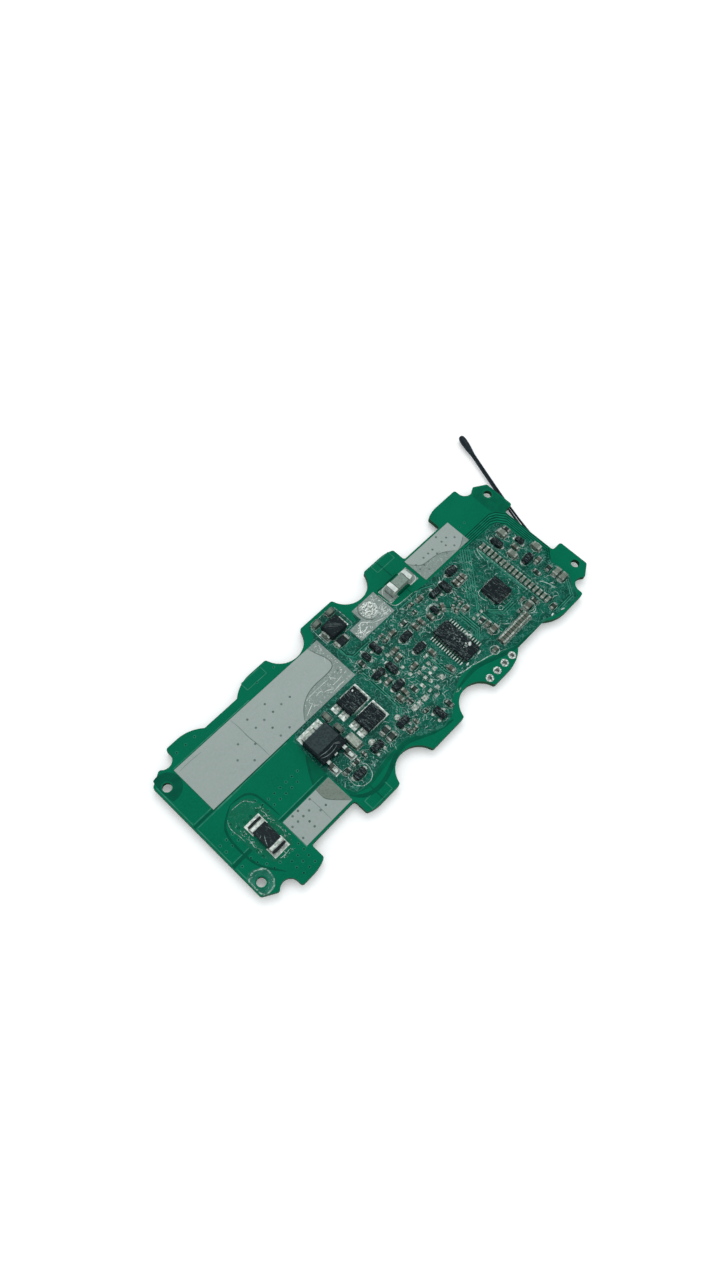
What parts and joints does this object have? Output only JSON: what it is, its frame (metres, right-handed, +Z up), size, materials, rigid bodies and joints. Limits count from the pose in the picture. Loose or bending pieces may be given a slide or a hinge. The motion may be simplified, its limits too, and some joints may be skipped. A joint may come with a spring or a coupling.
{
  "type": "battery management board",
  "caption": "Long green battery board with scalloped edges, tinned strap pads, surface-mounted parts and a bead thermistor on two stiff leads.",
  "frame": {"origin": "middle of the four corner holes, in the plane on which the thermistor's solder joints rest", "axes": "+X along the board towards the thermistor end, +Y across it towards the side on which the thermistor points, +Z up out of the side with the parts"},
  "size_m": [0.1119, 0.0484, 0.0044],
  "materials": {
    "solder_mask": "gloss green solder mask on glass epoxy",
    "tin": "tin plated copper, satin",
    "solder": "solder, satin",
    "black_mould": "fine matte moulding compound",
    "shunt_coat": "satin",
    "resistor_coat": "satin",
    "pale_ceramic": "matte",
    "brown_ceramic": "satin",
    "tinned_metal": "tin plated, satin",
    "dark_resin": "dipped resin, gloss",
    "dark_sleeve": "enamelled wire, satin"
  },
  "bodies": {
    "root": {"bleed_resistor_body": "resistor_coat", "bleed_resistor_ends": "tinned_metal", "bulk_capacitor_body": "brown_ceramic", "bulk_capacitor_ends": "tinned_metal", "capacitor_row_bodies": "brown_ceramic", "capacitor_row_ends": "tinned_metal", "charge_mosfet_body": "black_mould", "charge_mosfet_leads": "tinned_metal", "chip_capacitor_bodies": "brown_ceramic", "chip_capacitor_ends": "tinned_metal", "chip_resistor_bodies": "resistor_coat", "chip_resistor_ends": "tinned_metal", "circuit_board": "solder_mask", "controller_chip_body": "black_mould", "controller_chip_contacts": "tinned_metal", "discharge_mosfet_body": "black_mould", "discharge_mosfet_leads": "tinned_metal", "filter_capacitor_bodies": "brown_ceramic", "filter_capacitor_ends": "tinned_metal", "fuse_body": "pale_ceramic", "fuse_caps": "tinned_metal", "header_eyelets": "tin", "lower_bus_pad": "tin", "main_bus_pad": "tin", "middle_bus_pad": "tin", "monitor_chip_body": "black_mould", "monitor_chip_leads": "tinned_metal", "power_lands": "tin", "resistor_column_bodies": "resistor_coat", "resistor_column_ends": "tinned_metal", "shunt_resistor_body": "shunt_coat", "shunt_resistor_terminals": "tinned_metal", "signal_diode_bodies": "black_mould", "signal_diode_leads": "tinned_metal", "small_transistor_bodies": "black_mould", "small_transistor_leads": "tinned_metal", "snubber_capacitor_bodies": "brown_ceramic", "snubber_capacitor_ends": "tinned_metal", "solder_mound": "solder", "suppressor_diode_body": "black_mould", "suppressor_diode_terminals": "tinned_metal", "switch_transistor_body": "black_mould", "switch_transistor_leads": "tinned_metal", "switch_transistor_tab": "tinned_metal", "test_lands": "tin", "thermistor_bead": "dark_resin", "thermistor_joints": "solder", "thermistor_lead_a": "dark_sleeve", "thermistor_lead_b": "dark_sleeve", "upper_bus_pad": "tin"}
  },
  "joints": []
}
